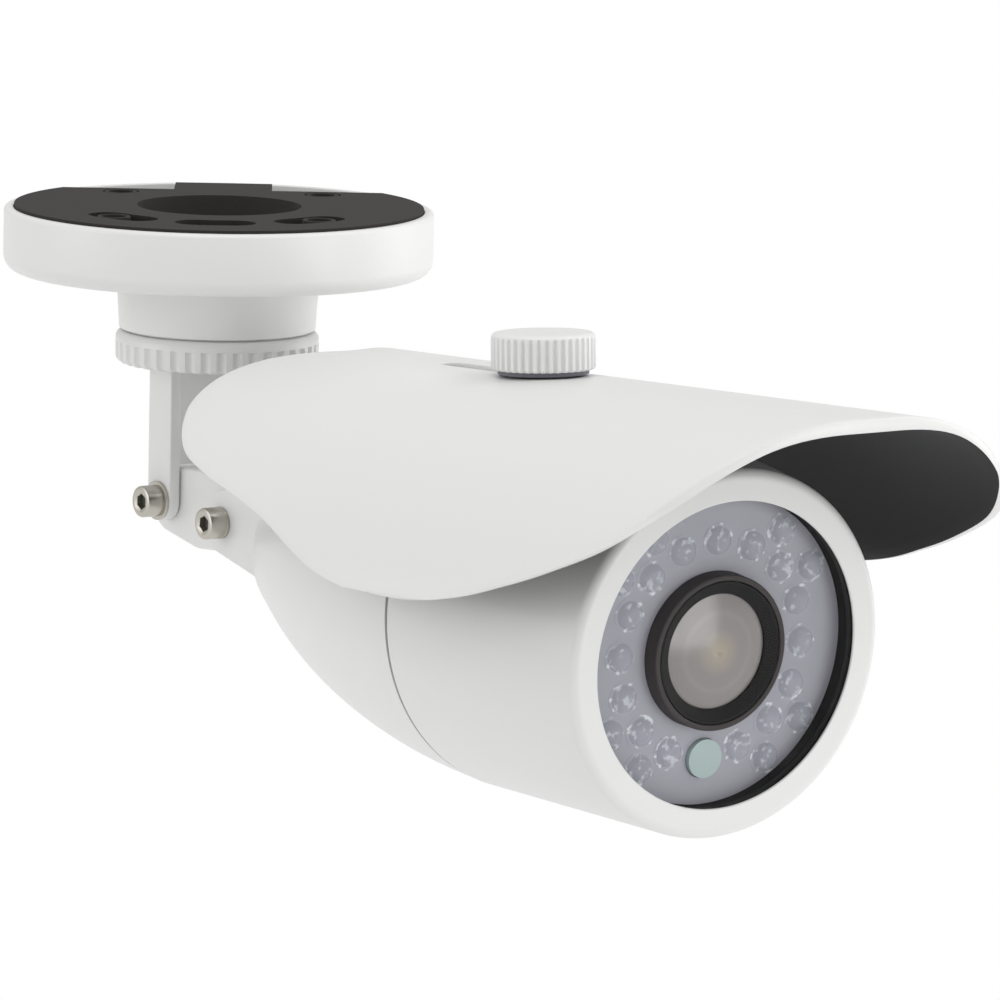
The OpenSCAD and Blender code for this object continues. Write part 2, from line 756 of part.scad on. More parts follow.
module cable_socket() {
  color("ivory") window_frame() translate([-6, main_t + board_t, -13]) difference() {
    cube([12, 6, 5]);
    translate([1, 1, 1]) cube([10, 6, 3]);
  }
}

module spacer_between(t0, t1) { board_holes() at_depth(t0) tube(spacer_r, 1.3, t1 - t0, $fn = 24); }

module board_spacers() {
  color("gold") window_frame() {
    spacer_between(led_board_t + board_t, sensor_t);
    spacer_between(sensor_t + board_t, main_t);
  }
}

module board_screws() {
  color("silver") window_frame() board_holes() {
    at_depth(main_t + board_t) cylinder(r = 2, h = 1.4, $fn = 24);
    at_depth(main_t - 4) cylinder(r = 1.25, h = board_t + 4 + eps, $fn = 24);
  }
}

module board_ribbon() {
  strip = 0.5;
  out = board_w / 2 + 0.3;
  color("lightgray") window_frame() translate([-5, 0, 0]) cube_strip(out, strip);
}

// a flat cable from the emitter board to the main board, past the sensor board
module cube_strip(out, strip) {
  translate([0, led_board_t + board_t, out]) cube([10, main_t + board_t - led_board_t - board_t, strip]);
  translate([0, main_t + board_t, out - 4]) cube([10, strip, 4 + strip]);
}

// ---- sunshield: one bent plate, trimmed to an oval ----
module arc_band(centre, r_in, r_out, a0, a1) {
  far = 2 * r_out;
  translate(centre) intersection() {
    difference() {
      circle(r = r_out, $fn = 240);
      circle(r = r_in, $fn = 240);
    }
    polygon([[0, 0], far * [cos(a0), sin(a0)], far * [cos((a0 + a1) / 2), sin((a0 + a1) / 2)],
      far * [cos(a1), sin(a1)]]);
  }
}

// half of the plate's cross-section, in [x, z]
module shield_half() {
  start = 90 - shield_bend;
  turn = shield_r + flare_r;
  translate([-eps, -shield_t]) square([crown_half + 2 * eps, shield_t]);
  arc_band([crown_half, -shield_r], shield_r - shield_t, shield_r, start, 90);
  translate([crown_half, -shield_r]) rotate(start) translate([shield_r - shield_t, -eps])
    square([shield_t, 2 * eps]);
  arc_band([crown_half + turn * cos(start), -shield_r + turn * sin(start)],
    flare_r, flare_r + shield_t, 180 + start, 180 + start + flare_bend);
}

// place of the plate's middle surface at a distance w from the crown's centre line
mid_r = shield_r - shield_t / 2;
mid_flare = flare_r + shield_t / 2;
bend_w = crown_half + mid_r * shield_bend * PI / 180;
function clamp01(v) = max(0, min(1, v));
function bend_at(w) = clamp01((w - crown_half) / (bend_w - crown_half)) * shield_bend;
function flare_at(w) = clamp01((w - bend_w) / (shield_w - bend_w)) * flare_bend;
function plate_x(w) = min(w, crown_half) + mid_r * sin(bend_at(w))
  + mid_flare * (sin(shield_bend) - sin(shield_bend - flare_at(w)));
function plate_z(w) = -shield_t / 2 - mid_r * (1 - cos(bend_at(w)))
  - mid_flare * (cos(shield_bend - flare_at(w)) - cos(shield_bend));
function lean_at(w) = pow(sin(bend_at(w)), 2);

// the trimmed edge from front to rear, as [share of the half width, share of the reach]
front_share = [[0, 1], [0.2, 0.994], [0.37, 0.973], [0.51, 0.93], [0.638, 0.866], [0.76, 0.777],
  [0.865, 0.65], [0.93, 0.522], [0.975, 0.4], [0.997, 0.25], [0.985, 0.1]];
rear_share = [[0.949, -0.043], [0.904, -0.16], [0.817, -0.338], [0.75, -0.515], [0.7, -0.67],
  [0.657, -0.8], [0.61, -0.877], [0.548, -0.938], [0.47, -0.985], [0.36, -1]];
scoop_share = [[0.24, 0.25], [0.12, 0.75], [0, 1]];
edge_points = concat([for (e = front_share) [e[0] * shield_w, e[1] * shield_front]],
  [for (e = rear_share) [e[0] * shield_w, e[1] * shield_rear]],
  [for (e = scoop_share) [e[0] * shield_w, e[1] * shield_scoop - shield_rear]]);
edge_last = len(edge_points) - 1;
edge_steps = 2;
function across(e) = [-e[0], e[1]];
function smooth(a, b, c, d, t) = 0.5 * (2 * b + (c - a) * t + (2 * a - 5 * b + 4 * c - d) * t * t
  + (3 * b - a - 3 * c + d) * t * t * t);
half_edge = concat([for (i = [0:edge_last - 1], k = [0:edge_steps - 1])
  smooth(i > 0 ? edge_points[i - 1] : across(edge_points[1]), edge_points[i], edge_points[i + 1],
    i < edge_last - 1 ? edge_points[i + 2] : across(edge_points[i]), k / edge_steps)],
  [edge_points[edge_last]]);
edge_end = len(half_edge) - 1;
corner_end = (len(front_share) + len(rear_share) - 1) * edge_steps;

module plan_trim() {
  side = [for (e = half_edge) [plate_x(e[0]) + 2 * shield_t * lean_at(e[0]), -e[1]]];
  translate([0, 0, -60]) linear_extrude(height = 80)
    polygon(concat(side, [for (i = [edge_end - 1:-1:1]) [-side[i][0], side[i][1]]]));
}

module side_trim() {
  low = [for (i = [0:corner_end]) let (e = half_edge[i])
    [-e[1], plate_z(e[0]) - 2 * shield_t * (1 - lean_at(e[0]))]];
  ends = [[shield_rear + 1, 5], [-shield_front - 1, 5]];
  side_plate(-60, 60) polygon(concat(low, ends));
}

module sunshield() {
  color("white") shield_frame() difference() {
    intersection() {
      rotate([90, 0, 0]) translate([0, 0, -shield_rear - 10])
        linear_extrude(height = shield_rear + shield_front + 20) {
          shield_half();
          mirror([1, 0]) shield_half();
        }
      plan_trim();
      side_trim();
    }
    translate([0, 0, -shield_t - 1]) linear_extrude(height = shield_t + 2)
      band([[0, 0, slot_r], [0, slot_travel, slot_r]]);
  }
}

// ---- shield knob ----
module knob_frame() { shield_frame() translate([0, 0, washer_gap]) children(); }

module shield_knob() {
  edge = 0.7;
  groove_r = 0.42;
  insert = 4;
  color("white") knob_frame() difference() {
    union() {
      cylinder(r1 = knob_r - edge / 2, r2 = knob_r, h = edge / 2);
      translate([0, 0, edge / 2]) cylinder(r = knob_r, h = knob_h - 1.5 * edge);
      translate([0, 0, knob_h - edge]) cylinder(r1 = knob_r, r2 = knob_r - edge, h = edge);
    }
    ring_of(knob_grooves, knob_r + 0.1) translate([0, 0, -1])
      cylinder(r = groove_r, h = knob_h - edge + 0.4, $fn = 16);
    translate([0, 0, -1]) cylinder(r = stud_r + 0.02, h = insert + 1);
  }
}

module knob_stud() {
  color("silver") knob_frame() translate([0, 0, -stud_l]) cylinder(r = stud_r, h = stud_l + 4);
}

module knob_washer() {
  color([0.2, 0.2, 0.22]) knob_frame() translate([0, 0, -knob_washer_t])
    tube(knob_washer_r, stud_r + 0.02, knob_washer_t);
}

base_plate();
base_pad();
lock_ring();
friction_washer();
swivel_stem();
stem_screw();
stem_washers();
stem_nut();
pivot_link();
head_screw();
head_washers();
head_nut();
rear_housing();
cable_grommet();
seam_gasket();
front_barrel();
front_bezel();
bezel_o_ring();
front_glass();
light_sleeve();
led_plate();
led_board();
ir_leds();
photocell();
lens_seal();
lens_barrel();
lens_glass();
lens_lock_ring();
lens_holder();
image_sensor();
sensor_board();
main_board();
cable_socket();
board_spacers();
board_screws();
board_ribbon();
sunshield();
shield_knob();
knob_stud();
knob_washer();
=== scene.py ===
"""Looks of the bullet security camera: its painted shells, knurled rings, emitters, lens and sunshield."""
import json
from math import acos, atan, cos, degrees, pi, radians, sin, tan
import bmesh
import bpy
from mathutils import Matrix, Vector


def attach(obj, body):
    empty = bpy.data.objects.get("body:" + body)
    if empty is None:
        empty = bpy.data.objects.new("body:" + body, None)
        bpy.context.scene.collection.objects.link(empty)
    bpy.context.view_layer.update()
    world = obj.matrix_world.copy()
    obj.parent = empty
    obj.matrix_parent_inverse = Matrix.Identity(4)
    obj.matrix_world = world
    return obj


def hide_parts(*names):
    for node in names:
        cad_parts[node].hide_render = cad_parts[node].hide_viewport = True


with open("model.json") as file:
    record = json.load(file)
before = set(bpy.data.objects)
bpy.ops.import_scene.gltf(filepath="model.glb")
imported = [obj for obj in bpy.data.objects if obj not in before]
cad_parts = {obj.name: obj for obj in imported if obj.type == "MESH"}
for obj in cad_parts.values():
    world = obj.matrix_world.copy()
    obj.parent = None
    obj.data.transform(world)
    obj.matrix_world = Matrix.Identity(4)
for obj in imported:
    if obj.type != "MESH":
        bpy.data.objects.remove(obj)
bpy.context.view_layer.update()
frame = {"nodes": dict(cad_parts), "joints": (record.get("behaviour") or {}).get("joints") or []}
MM = 0.001

# ---- Camera ----
# The middle of the front window, which the lamps face and the camera is placed from
WINDOW = Vector((0, -150.8, -57.8)) * MM


def turned(axis, angle):
    return Matrix.Rotation(radians(angle), 4, axis)


def moved(x, y, z):
    return Matrix.Translation(Vector((x, y, z)) * MM)


def place_camera():
    azimuth, rise, roll = -35.47, 8.42, 1.09
    left, up, away = -37.27, 25.6, 1971.8
    look = turned("Z", azimuth) @ turned("X", 90 - rise) @ turned("Z", roll)
    data = bpy.data.cameras.new("View")
    data.sensor_width = 36
    data.lens = 432
    data.clip_start, data.clip_end = 0.2, 40
    camera = bpy.data.objects.new("View", data)
    camera.matrix_world = Matrix.Translation(WINDOW) @ look @ moved(left, up, away)
    bpy.context.scene.collection.objects.link(camera)
    bpy.context.scene.camera = camera


place_camera()


# ---- Places, from the frame ----
JOINTS = {joint["name"]: joint for joint in frame["joints"]}
PITCH, AXIS_RISE, WINDOW_REACH = 4.87, 5.7, 131.3
STEM_PIVOT = Matrix.Translation(Vector(JOINTS["link_tilt"]["pos_m"]))
HEAD_PIVOT = Matrix.Translation(Vector(JOINTS["camera_tilt"]["pos_m"])) @ turned("X", PITCH)
FACE = HEAD_PIVOT @ moved(0, -WINDOW_REACH, AXIS_RISE)
BARREL = FACE @ turned("X", -90)
SHIELD_ANGLE = -7.55
CROWN = Matrix.Translation(Vector(JOINTS["knob_turn"]["pos_m"])) @ turned("X", PITCH + SHIELD_ANGLE)
SIDE = turned("Y", 90) @ turned("Z", 90)
BASE_TURN = turned("Z", -35.5)


# ---- Materials ----
class Value:
    """A socket that adds Math nodes when it is used in an expression."""

    def __init__(self, finish, socket):
        self.finish, self.socket = finish, socket

    def math(self, operation, *others):
        return self.finish.node("Math", {"operation": operation}, dict(enumerate((self, *others))))

    def __add__(self, other):
        return self.math("ADD", other)

    __radd__ = __add__

    def __mul__(self, other):
        return self.math("MULTIPLY", other)

    def __sub__(self, other):
        return self.math("SUBTRACT", other)

    def __rsub__(self, other):
        return (self * -1) + other


class Finish:
    """A material with one Principled shader, and one way to add any other node."""

    def __init__(self, name, colour, roughness, metallic=0.0, **sockets):
        self.material = bpy.data.materials.new(name)
        self.material.use_nodes = True
        self.nodes = self.material.node_tree.nodes
        self.shader = self.nodes["Principled BSDF"]
        self.set("Base Color", (*colour, 1))
        self.set("Roughness", roughness)
        self.set("Metallic", metallic)
        for socket, value in sockets.items():
            self.set(socket.replace("_", " "), value)

    def feed(self, socket, value):
        if isinstance(value, Value):
            self.material.node_tree.links.new(value.socket, socket)
        else:
            socket.default_value = value

    def set(self, socket, value):
        self.feed(self.shader.inputs[socket], value)

    def node(self, kind, settings, sockets, output=0):
        node = self.nodes.new("ShaderNode" + kind)
        for name, value in settings.items():
            setattr(node, name, value)
        for name, value in sockets.items():
            self.feed(node.inputs[name], value)
        return Value(self, node.outputs[output])

    def place(self):
        return self.node("TexCoord", {}, {}, "Object")

    def noise(self, scale, detail=2.0):
        return self.node("TexNoise", {}, {"Vector": self.place(), "Scale": scale, "Detail": detail}, "Fac")

    def from_axis(self, place):
        """Distance in millimetres from the local Y axis of a place on the piece."""
        local = self.node("Mapping", {"vector_type": "TEXTURE"}, {
            "Vector": self.place(), "Location": place.translation, "Rotation": place.to_euler()})
        flat = self.node("VectorMath", {"operation": "MULTIPLY"}, {0: local, 1: (1, 0, 1)})
        return self.node("VectorMath", {"operation": "LENGTH"}, {0: flat}, "Value") * (1 / MM)

    def grain(self, scale, strength, distance):
        sockets = {"Height": self.noise(scale), "Strength": strength, "Distance": distance * MM}
        self.set("Normal", self.node("Bump", {}, sockets))

    def blend(self, share, low, high):
        """Mixes two colours by a share between 0 and 1."""
        low, high = (tint if isinstance(tint, Value) else (*tint, 1) for tint in (low, high))
        return self.node("Mix", {"data_type": "RGBA"}, {0: share, 6: low, 7: high}, 2)


def painted(name, colour):
    finish = Finish(name, colour, 0.4, Coat_Weight=0.25, Coat_Roughness=0.25)
    finish.set("Roughness", 0.36 + finish.noise(240) * 0.12)
    finish.grain(1400, 0.08, 0.05)
    return finish.material


def plain(name, colour, roughness, scale=900, strength=0.12, **sockets):
    finish = Finish(name, colour, roughness, **sockets)
    finish.grain(scale, strength, 0.06)
    return finish.material


def turned_metal(name, colour, roughness):
    finish = Finish(name, colour, roughness, 1.0)
    finish.set("Roughness", roughness - 0.06 + finish.noise(1500) * 0.12)
    return finish.material


def clear(name, colour, alpha, roughness):
    return Finish(name, colour, roughness, Alpha=alpha).material


def reflector_painted_highlights():
    """The grey bed of each emitter, with small bright painted highlights that stand in for the glints of its
    reflector.
    """
    finish = Finish("Reflector painted highlights", (0.50, 0.50, 0.56), 0.4)
    threshold, contrast = 0.55, 10
    # Painted highlights: noise-picked specks of near-white base colour stand in for glints in the reflector
    # cups.
    painted_highlight_share = ((finish.noise(760, 3) - threshold) * contrast).math("MAXIMUM", 0).math("MINIMUM", 1)
    finish.set("Base Color", finish.blend(painted_highlight_share, (0.50, 0.505, 0.57), (0.92, 0.97, 1.0)))
    return finish.material


def coated_lens_painted_reflections():
    """Milky coated glass with a painted warm reflection at its heart and one faint painted reflection ring.
    """
    reflection_heart_r, reflection_ring_r, reflection_ring_sharpness = 4.2, 6.6, 1.2
    finish = Finish("Coated lens glass with painted reflections", (0.4, 0.37, 0.35), 0.2, Alpha=0.8, Coat_Weight=1.0,
                    Coat_Roughness=0.16)
    r = finish.from_axis(FACE)
    # Painted reflections: the warm heart stands in for the sensor's reflection, the lighter ring for a
    # reflection of the inner elements.
    painted_heart_reflection = (1 - r * (1 / reflection_heart_r)).math("MAXIMUM", 0)
    ring = (1 - (r - reflection_ring_r).math("ABSOLUTE") * reflection_ring_sharpness).math("MAXIMUM", 0)
    glow = finish.blend(painted_heart_reflection, (0.39, 0.36, 0.35), (0.60, 0.53, 0.40))
    finish.set("Base Color", finish.blend(ring * 0.35, glow, (0.5, 0.46, 0.44)))
    return finish.material


WHITE = painted("White paint", (0.80, 0.80, 0.79))
CHARCOAL = plain("Charcoal shield lining", (0.009, 0.009, 0.010), 0.6, Specular_IOR_Level=0.25)
PAD = plain("Pad rubber", (0.026, 0.023, 0.022), 0.75, 500, 0.3, Specular_IOR_Level=0.3)
RUBBER = plain("Black rubber", (0.02, 0.02, 0.02), 0.6)
SLEEVE = plain("Black sleeve", (0.008, 0.008, 0.008), 0.6, strength=0.04, Specular_IOR_Level=0.25)
SEAL = plain("Lens seal rubber", (0.06, 0.052, 0.052), 0.6, strength=0.04, Specular_IOR_Level=0.3)
STEEL = turned_metal("Stainless steel", (0.50, 0.48, 0.43), 0.33)
# Painted shade for the inside of the screw sockets.
SOCKET_PAINTED_SHADE = plain("Socket painted shade", (0.12, 0.115, 0.09), 0.5)
# Partly painted shade: the knob's friction disc is dark, and this tone also stands in for the shade in the
# gap under the knob.
DARK_STEEL_PAINTED_GAP_SHADE = plain("Dark steel with painted gap shade", (0.13, 0.13, 0.155), 0.5)
NYLON = plain("Ivory nylon", (0.62, 0.58, 0.48), 0.5)
PLATE = plain("Grey emitter plate", (0.50, 0.50, 0.56), 0.6, strength=0.04)
BOARD = plain("Green board", (0.012, 0.09, 0.035), 0.35)
CHIP = plain("Sensor chip", (0.04, 0.04, 0.06), 0.2)
BRASS = turned_metal("Brass", (0.60, 0.42, 0.16), 0.3)
RIBBON = plain("Grey ribbon", (0.32, 0.32, 0.34), 0.5)
GREEN_RESIN = plain("Pale green resin", (0.50, 0.63, 0.62), 0.35, Coat_Weight=0.3)
WINDOW_GLASS = clear("Window glass", (0.02, 0.02, 0.02), 0.06, 0.03)
EPOXY = clear("Clear epoxy", (0.55, 0.57, 0.65), 0.22, 0.12)
REFLECTOR_PAINTED_HIGHLIGHTS = reflector_painted_highlights()
LENS_GLASS_PAINTED_REFLECTIONS = coated_lens_painted_reflections()


# ---- Shaping tools ----
def new_piece(name, mesh_maker, body, material, stands_for=(), sharp=32, others=()):
    """Turns a bmesh in row-frame metres into a finished piece on its body."""
    mesh = bpy.data.meshes.new(name)
    mesh_maker.to_mesh(mesh)
    mesh_maker.free()
    mesh.materials.append(material)
    for extra in others:
        mesh.materials.append(extra)
    mesh.shade_smooth()
    mesh.set_sharp_from_angle(angle=radians(sharp))
    piece = bpy.data.objects.new(name, mesh)
    bpy.context.scene.collection.objects.link(piece)
    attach(piece, body)
    if stands_for:
        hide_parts(*stands_for)


def rounded(corners, steps=6):
    """Outline points from (x, y, radius) corners, each radius drawn as an arc."""
    points = []
    for i, (x, y, r) in enumerate(corners):
        here = Vector((x, y))
        if r == 0:
            points.append(here)
            continue
        before = (Vector(corners[i - 1][:2]) - here).normalized()
        after = (Vector(corners[(i + 1) % len(corners)][:2]) - here).normalized()
        half = acos(max(-1, min(1, before.dot(after)))) / 2
        centre = here + (before + after).normalized() * (r / sin(half))
        start = here + before * (r / tan(half)) - centre
        sweep = pi - 2 * half
        side = 1 if start.x * (here - centre).y - start.y * (here - centre).x > 0 else -1
        for k in range(steps + 1):
            turn = Matrix.Rotation(side * sweep * k / steps, 2)
            points.append(centre + turn @ start)
    return points


def lathe(corners, place, segments=128):
    """A profile of (radius, height, rounding) corners in millimetres, spun about the height axis."""
    mesh = bmesh.new()
    points = rounded(corners)
    verts = [mesh.verts.new((max(p.x, 0) * MM, 0, p.y * MM)) for p in points]
    pairs = list(zip(verts, verts[1:]))
    if points[0].x > 0 or points[-1].x > 0:
        pairs.append((verts[-1], verts[0]))
    edges = [mesh.edges.new(pair) for pair in pairs]
    bmesh.ops.spin(mesh, geom=verts + edges, cent=(0, 0, 0), axis=(0, 0, 1), angle=2 * pi,
                   steps=segments, use_merge=True)
    bmesh.ops.remove_doubles(mesh, verts=mesh.verts, dist=1e-7)
    bmesh.ops.dissolve_degenerate(mesh, edges=mesh.edges, dist=1e-7)
    bmesh.ops.recalc_face_normals(mesh, faces=mesh.faces)
    mesh.transform(place)
    return mesh


def loop(mesh, points):
    """A closed loop of edges through points in millimetres."""
    made = bmesh.ops.create_circle(mesh, segments=len(points), radius=1)["verts"]
    for vert, point in zip(made, points):
        vert.co = Vector(point) * MM
    return list({edge for vert in made for edge in vert.link_edges})


def stacked(rings, count, place, ring_closed=False):
    """Loops of (shape, height), where shape is a radius in millimetres or a function of the angle."""
    mesh = bmesh.new()
    angles = [2 * pi * i / count for i in range(count)]
    loops = []
    for shape, height in rings:
        radii = [shape(a) if callable(shape) else shape for a in angles]
        loops.append(loop(mesh, [(r * cos(a), r * sin(a), height) for r, a in zip(radii, angles)]))
    if ring_closed:
        loops.append(loops[0])
    for low, high in zip(loops, loops[1:]):
        bmesh.ops.bridge_loops(mesh, edges=low + high)
    bmesh.ops.holes_fill(mesh, edges=[edge for edge in mesh.edges if edge.is_boundary])
    bmesh.ops.recalc_face_normals(mesh, faces=mesh.faces)
    mesh.transform(place)
    return mesh


def slab(points, low, high, place, bevel=0.0, steps=3):
    """An outline in millimetres, drawn in x and y and pulled up from low to high."""
    mesh = bmesh.new()
    face = mesh.faces.new([mesh.verts.new((p[0] * MM, p[1] * MM, low * MM)) for p in points])
    pulled = bmesh.ops.extrude_face_region(mesh, geom=[face])["geom"]
    lift = [v for v in pulled if isinstance(v, bmesh.types.BMVert)]
    bmesh.ops.translate(mesh, verts=lift, vec=(0, 0, (high - low) * MM))
    bmesh.ops.recalc_face_normals(mesh, faces=mesh.faces)
    if bevel:
        rim = [e for e in mesh.edges if abs(e.verts[0].co.z - e.verts[1].co.z) < 1e-9]
        bmesh.ops.bevel(mesh, geom=rim, offset=bevel * MM, offset_type="OFFSET", segments=steps,
                        profile=0.5, affect="EDGES", material=-1, clamp_overlap=True)
    mesh.transform(place)
    return mesh


def joined(*parts):
    """Several bmeshes in one."""
    whole = bmesh.new()
    for part in parts:
        kept = bpy.data.meshes.new("part")
        part.to_mesh(kept)
        part.free()
        whole.from_mesh(kept)
        bpy.data.meshes.remove(kept)
    return whole


def band(circles, steps=24):
    """Outline round circles of (x, y, radius), as a tight belt."""
    turns = [2 * pi * k / (4 * steps) for k in range(4 * steps)]
    ring = [Vector((x + r * cos(turn), y + r * sin(turn))) for x, y, r in circles for turn in turns]
    start = min(range(len(ring)), key=lambda i: (ring[i].y, ring[i].x))
    outline, here, heading = [ring[start]], ring[start], Vector((1, 0))
    while True:
        ahead = [p for p in ring if (p - here).length > 1e-6]
        after = min(ahead, key=lambda p: (round(heading.angle(p - here), 7), -(p - here).length))
        if (after - outline[0]).length < 1e-6:
            return outline
        heading, here = after - here, after
        outline.append(after)


def cut(mesh, *cutters):
    """Takes the cutters' solids out of a bmesh."""
    for cutter in cutters:
        solids = []
        for part in (mesh, cutter):
            data = bpy.data.meshes.new("solid")
            part.to_mesh(data)
            part.free()
            solids.append(bpy.data.objects.new("solid", data))
            bpy.context.scene.collection.objects.link(solids[-1])
        change = solids[0].modifiers.new("cut", "BOOLEAN")
        change.object = solids[1]
        change.solver = "EXACT"
        graph = bpy.context.evaluated_depsgraph_get()
        shaped = bpy.data.meshes.new_from_object(solids[0].evaluated_get(graph))
        mesh = bmesh.new()
        mesh.from_mesh(shaped)
        bpy.data.meshes.remove(shaped)
        for solid in solids:
            bpy.data.meshes.remove(solid.data)
    return mesh


# ---- Base ----
BASE_R, RIM_Z, UNDER_Z, FLOOR_Z = 37.39, -0.5, -11.6, -9.1
COLLAR_R, COLLAR_Z, SPIGOT_R, SPIGOT_Z = 17.7, -21.5, 15.9, -24.5
PAD_LOW, SCREW_CIRCLE_R, SCREW_HOLE_R = -3, 25, 2.2


def make_base():
    """The casting: open at the top, with a hub for the cable, a collar and a threaded spigot below."""
    wall, ledge_r, hub_r, hub_in, hub_floor = 1.7, 34.3, 17.2, 15.5, -5.3
    passage_r, chamber_r, chamber_top = 9, 13.98, -18.3
    inner_r = BASE_R - wall
    shell = lathe([
        (passage_r, hub_floor, 0.3), (passage_r, chamber_top, 0), (chamber_r, chamber_top, 0),
        (chamber_r, SPIGOT_Z, 0), (SPIGOT_R, SPIGOT_Z, 0.3), (SPIGOT_R, COLLAR_Z, 0),
        (COLLAR_R - 0.6, COLLAR_Z, 0.4), (COLLAR_R, UNDER_Z, 1.2), (BASE_R, UNDER_Z, 2.8),
        (BASE_R, RIM_Z, 0.8), (inner_r, RIM_Z, 0.25), (inner_r, PAD_LOW, 0), (ledge_r, PAD_LOW, 0.2),
        (ledge_r, FLOOR_Z, 0.6), (hub_r, FLOOR_Z, 0.6), (hub_r, PAD_LOW, 0.2), (hub_in, PAD_LOW, 0.2),
        (hub_in, hub_floor, 0.2)],
        Matrix(), 192)
    places = [BASE_TURN @ turned("Z", 45 + 90 * i) @ moved(SCREW_CIRCLE_R, 0, 0) for i in range(4)]
    sink, low, high = 2, UNDER_Z - 0.05, FLOOR_Z + 1
    holes = [lathe([(0, low, 0), (SCREW_HOLE_R + sink, low, 0), (SCREW_HOLE_R, low + sink, 0),
                    (SCREW_HOLE_R, high, 0), (0, high, 0)], place, 48) for place in places]
    lug_r, foot_r, root = 2.9, 4.4, FLOOR_Z - 0.2
    bosses = [lathe([(SCREW_HOLE_R, root, 0), (SCREW_HOLE_R, 0, 0.15), (lug_r, 0, 0.2), (lug_r, PAD_LOW, 0),
                     (foot_r, PAD_LOW, 0.2), (foot_r, root, 0)], place, 48) for place in places]
    rib_in, rib_out, half = 16, 34.5, 0.8
    ribs = [slab([(rib_in, -half), (rib_out, -half), (rib_out, half), (rib_in, half)], root, PAD_LOW,
                 BASE_TURN @ turned("Z", 90 * i)) for i in range(4)]
    new_piece("base", joined(cut(shell, *holes), *ribs), "base", WHITE, ["base_plate"])
    new_piece("base_screw_bosses", joined(*bosses), "base", PAD)


make_base()


# ---- Lock ring ----
def fluted(radius, depth, count, width=0.6):
    """Radius with count round grooves, each taking up that share of its pitch."""
    def shape(angle):
        place = (angle * count / (2 * pi)) % 1
        from_middle = abs(2 * place - 1)
        return radius - depth * cos(min(1, from_middle / width) * pi / 2)
    return shape


RING_R, RING_LOW, RING_HIGH, RING_GROOVES = 17.7, -27.4, -21.8, 40


def make_lock_ring():
    """The side is a list of (height, inset, share of the groove's depth). No two rings lie in one plane."""
    neck, bore, lip, groove_top, groove_depth, step = 13.0, 15.98, -24.8, -24.0, 0.7, 0.03
    side = [(RING_LOW, 0.9, 1), (RING_LOW + 0.35, 0.42, 1), (RING_LOW + 0.9, 0.04, 1), (groove_top, 0, 1),
            (groove_top + 0.25, 0, 0.85), (groove_top + 0.4, 0, 0), (RING_HIGH - 0.9, 0.03, 0),
            (RING_HIGH - 0.35, 0.4, 0), (RING_HIGH, 0.9, 0)]
    rings = [(neck, RING_LOW + step)]
    rings += [(fluted(RING_R - inset, groove_depth * share, RING_GROOVES), z) for z, inset, share in side]
    rings += [(bore, RING_HIGH - step), (bore, lip), (neck, lip - step)]
    grip = stacked(rings, RING_GROOVES * 10, Matrix(), True)
    new_piece("lock_ring_grip", grip, "ring", WHITE, ["lock_ring"], 40)


make_lock_ring()

# ---- Stem and link ----
FORK_HALF, CHEEK_T, CHEEK_W, CHEEK_ROUND = 11.8, 2.2, 7, 0.35
LINK_HALF, STEM_BORE = 9.4, 8


def make_stem():
    """A flanged neck on a bridge between two cheeks, with a thin web behind the bridge."""
    neck_r, flange_r, crotch, flange_low, flange_high = 12.7, 13.9, -33.4, -24.2, -19.6
    drop, end_r = STEM_PIVOT.translation.z / MM, CHEEK_W / 2
    cheek_top, neck_low = RING_LOW + 0.2, RING_LOW - 0.3
    turns = [pi * k / 24 for k in range(25)]
    end = [(end_r * cos(pi + turn), drop + end_r * sin(pi + turn)) for turn in turns]
    cheeks = [slab([(-end_r, cheek_top), *end, (end_r, cheek_top)], low, low + CHEEK_T, SIDE, CHEEK_ROUND)
              for low in (-FORK_HALF, FORK_HALF - CHEEK_T)]
    neck = lathe([(STEM_BORE, neck_low, 0.2), (neck_r, neck_low, 0.3), (neck_r, flange_low, 0),
                  (flange_r, flange_low, 0.3), (flange_r, flange_high, 0.3), (STEM_BORE, flange_high, 0.3)],
                 Matrix(), 96)
    half, reach, bridge_half, arch_rise = FORK_HALF - CHEEK_T, FORK_HALF - 0.3, 2.7, 0.45
    arch = [(half * cos(turn), crotch + arch_rise * half * sin(turn)) for turn in turns]
    bridge = slab([(reach, crotch), *arch, (-reach, crotch), (-reach, RING_LOW), (reach, RING_LOW)],
                  -bridge_half, bridge_half, turned("X", 90), 0.3)
    bore = lathe([(0, -40, 0), (STEM_BORE, -40, 0), (STEM_BORE, -20, 0), (0, -20, 0)], Matrix(), 96)
    web_half, web_low, web_front, web_back = half + 0.2, -44.5, 2.2, 3.3
    web = slab([(-web_half, web_low), (web_half, web_low), (web_half, RING_LOW), (-web_half, RING_LOW)],
               web_front, web_back, turned("X", 90))
    new_piece("stem_fork", joined(*cheeks, neck, cut(bridge, bore), web), "stem", WHITE,
              ["swivel_stem"])


make_stem()


